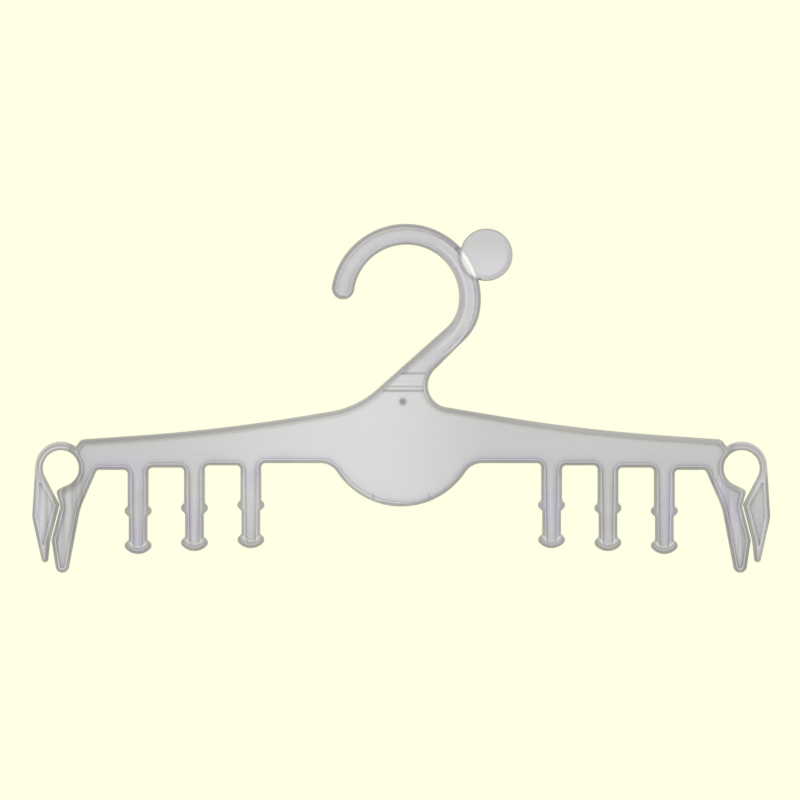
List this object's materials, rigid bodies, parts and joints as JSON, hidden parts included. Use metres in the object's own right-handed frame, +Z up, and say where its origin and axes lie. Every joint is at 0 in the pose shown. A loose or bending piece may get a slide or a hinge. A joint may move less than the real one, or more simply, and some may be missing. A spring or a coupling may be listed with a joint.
{
  "type": "delicates hanger",
  "caption": "Flat moulded plastic hanger for delicates, with an open hook, a size disc, strap prongs under both arms and an integral sprung clip at each end.",
  "frame": {"origin": "the hook's inner crown, where the rail carries the hanger, in the middle of its depth", "axes": "+X to the right along the arms seen from the front, +Y from the front to the back, +Z up"},
  "size_m": [0.2708, 0.004, 0.1281],
  "materials": {
    "clear_plastic": "translucent natural polypropylene, lightly frosted, glossy on the rim",
    "clear_plastic_spring": "the same translucent polypropylene, smooth where it flexes",
    "clear_plastic_jaw": "the same translucent polypropylene, lightly frosted in the recess"
  },
  "bodies": {
    "frame": {"hanger_frame": "clear_plastic", "left_spring_bow": "clear_plastic_spring", "right_spring_bow": "clear_plastic_spring"},
    "left_jaw": {"left_clip_jaw": "clear_plastic_jaw"},
    "right_jaw": {"right_clip_jaw": "clear_plastic_jaw"}
  },
  "joints": [
    {"name": "left_clip_flex", "type": "hinge", "parent": "frame", "child": "left_jaw", "pos_m": [-0.13009, 0, -0.07655], "axis": [0, 1, 0], "range_deg": [0, 15], "stiffness_Nm_per_rad": 0.54, "deforming": ["left_spring_bow"]},
    {"name": "right_clip_flex", "type": "hinge", "parent": "frame", "child": "right_jaw", "pos_m": [0.12629, 0, -0.07655], "axis": [0, -1, 0], "range_deg": [0, 15], "stiffness_Nm_per_rad": 0.54, "deforming": ["right_spring_bow"]}
  ]
}
